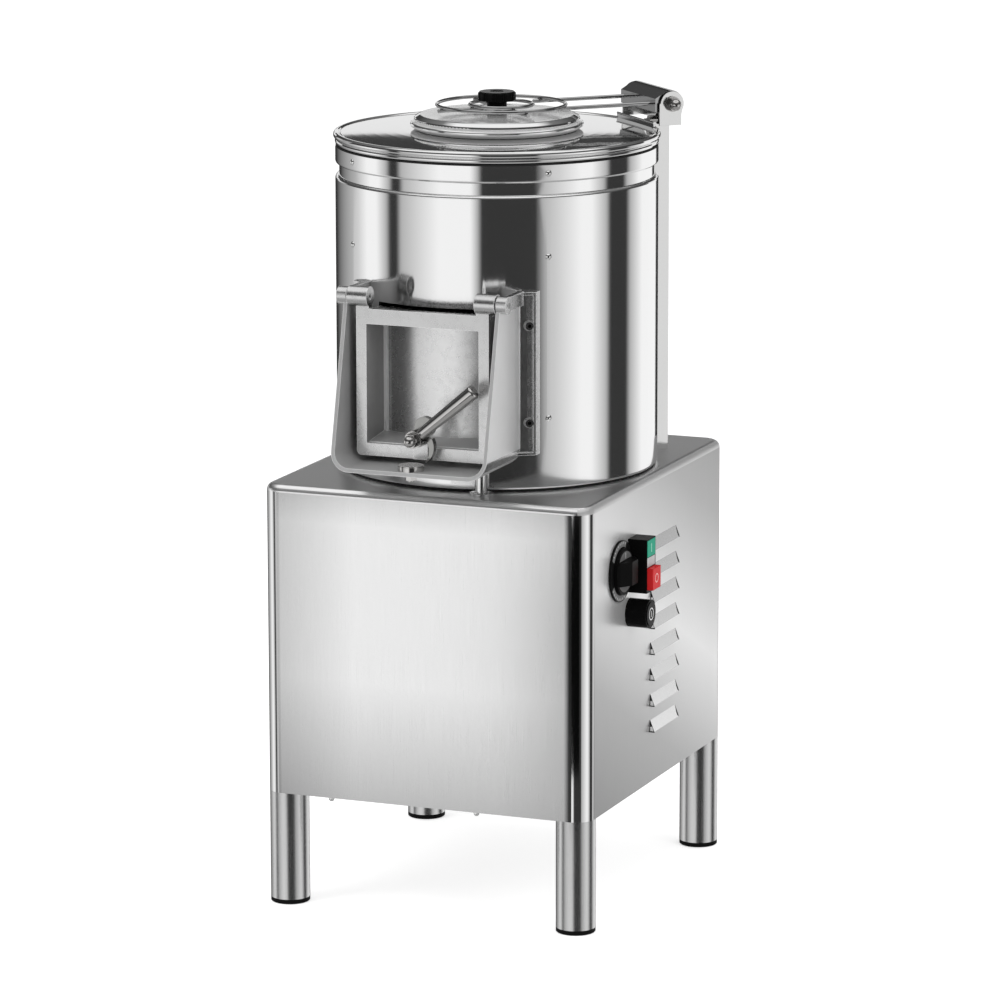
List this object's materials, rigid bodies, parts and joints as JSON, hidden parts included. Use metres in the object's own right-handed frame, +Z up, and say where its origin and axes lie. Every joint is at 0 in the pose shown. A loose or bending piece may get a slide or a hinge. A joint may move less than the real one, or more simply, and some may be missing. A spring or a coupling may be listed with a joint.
{
  "type": "commercial potato peeler",
  "caption": "Floor-standing electric potato peeler: polished rumbler drum with a swing-up lid and a latched chute door on a louvred steel cabinet with legs.",
  "frame": {"origin": "middle of the overall footprint, at floor level", "axes": "+Z up; the chute and door face -Y; the controls are on the +X side"},
  "size_m": [0.473, 0.598, 1.0197],
  "materials": {
    "satin_steel": "satin, fine vertical grain",
    "polished_steel": "mirror polished stainless",
    "cast_aluminium": "rough satin casting",
    "black_plastic": "glossy",
    "matte_black": "matte",
    "rubber": "matte",
    "abrasive": "coarse grit coating",
    "dial_grey": "satin",
    "green_plastic": "glossy",
    "red_plastic": "glossy",
    "lens_grey": "milky",
    "motor_paint": "semi-gloss paint",
    "brass": "plain",
    "grey_pipe": "matte"
  },
  "bodies": {
    "machine": {"cabinet_shell": "satin_steel", "cabinet_top": "satin_steel", "rear_panel": "satin_steel", "base_plate": "satin_steel", "base_nuts": "polished_steel", "leg_front_left": "satin_steel", "leg_front_right": "satin_steel", "leg_rear_left": "satin_steel", "leg_rear_right": "satin_steel", "foot_caps": "matte_black", "drum_shell": "polished_steel", "drum_band": "polished_steel", "drum_floor": "satin_steel", "drum_gasket": "rubber", "abrasive_liner": "abrasive", "dome_screws": "polished_steel", "top_cover": "polished_steel", "cover_seal": "rubber", "hinge_post": "satin_steel", "hinge_bracket": "polished_steel", "hinge_bolt": "polished_steel", "interlock_switch": "matte_black", "chute": "cast_aluminium", "chute_screws": "matte_black", "chute_stay": "polished_steel", "striker": "polished_steel", "door_pins": "polished_steel", "timer_dial": "dial_grey", "timer_body": "matte_black", "switch_box": "black_plastic", "power_lens": "lens_grey", "round_collar": "black_plastic", "bearing_housing": "cast_aluminium", "bearings": "polished_steel", "shaft_seal": "rubber", "motor": "motor_paint", "motor_plate": "satin_steel", "drive_belt": "rubber", "water_inlet": "brass", "drain_pipe": "grey_pipe", "cable_gland": "matte_black"},
    "lid_arm": {"lid_arm": "polished_steel", "lid": "polished_steel", "lid_seal": "rubber", "lid_stud": "black_plastic"},
    "lid_knob": {"lid_knob": "black_plastic"},
    "door": {"door": "cast_aluminium", "latch_bolt": "polished_steel"},
    "latch": {"latch_cam": "polished_steel", "latch_lever": "polished_steel"},
    "timer_knob": {"timer_knob": "black_plastic"},
    "start_button": {"start_button": "green_plastic"},
    "stop_button": {"stop_button": "red_plastic"},
    "round_button": {"round_button": "black_plastic"},
    "interlock_plunger": {"interlock_plunger": "polished_steel"},
    "peeling_rotor": {"abrasive_plate": "abrasive", "main_shaft": "polished_steel", "big_pulley": "cast_aluminium"},
    "motor_rotor": {"motor_shaft": "polished_steel", "small_pulley": "cast_aluminium"}
  },
  "joints": [
    {"name": "arm_hinge", "type": "hinge", "parent": "machine", "child": "lid_arm", "pos_m": [0.13742, 0.15387, 0.9987], "axis": [-0.7071, 0.7071, 0], "range_deg": [0, 95]},
    {"name": "lid_knob_turn", "type": "hinge", "parent": "lid_arm", "child": "lid_knob", "pos_m": [-0.01645, 0, 1.01], "axis": [0, 0, 1], "range_deg": [0, 270]},
    {"name": "door_hinge", "type": "hinge", "parent": "machine", "child": "door", "pos_m": [-0.01645, -0.243, 0.79], "axis": [-1, 0, 0], "range_deg": [0, 95]},
    {"name": "latch_turn", "type": "hinge", "parent": "door", "child": "latch", "pos_m": [-0.01645, -0.26, 0.621], "axis": [0, -1, 0], "range_deg": [-10, 95]},
    {"name": "timer_turn", "type": "hinge", "parent": "machine", "child": "timer_knob", "pos_m": [0.21355, -0.14, 0.445], "axis": [-1, 0, 0], "range_deg": [0, 300]},
    {"name": "start_press", "type": "slide", "parent": "machine", "child": "start_button", "axis": [-1, 0, 0], "range_m": [0, 0.003], "stiffness_N_per_m": 300},
    {"name": "stop_press", "type": "slide", "parent": "machine", "child": "stop_button", "axis": [-1, 0, 0], "range_m": [0, 0.003], "stiffness_N_per_m": 300},
    {"name": "round_press", "type": "slide", "parent": "machine", "child": "round_button", "axis": [-1, 0, 0], "range_m": [0, 0.003], "stiffness_N_per_m": 300},
    {"name": "interlock_press", "type": "slide", "parent": "machine", "child": "interlock_plunger", "axis": [0.7071, 0.7071, 0], "range_m": [0, 0.003], "stiffness_N_per_m": 300},
    {"name": "plate_spin", "type": "hinge", "parent": "machine", "child": "peeling_rotor", "pos_m": [-0.01645, 0, 0.57], "axis": [0, 0, 1], "continuous": true},
    {"name": "motor_spin", "type": "hinge", "parent": "machine", "child": "motor_rotor", "pos_m": [-0.01645, 0.165, 0.42], "axis": [0, 0, 1], "continuous": true}
  ],
  "couplings": [
    {"joint": "motor_spin", "follows": "plate_spin", "ratio": 4}
  ]
}
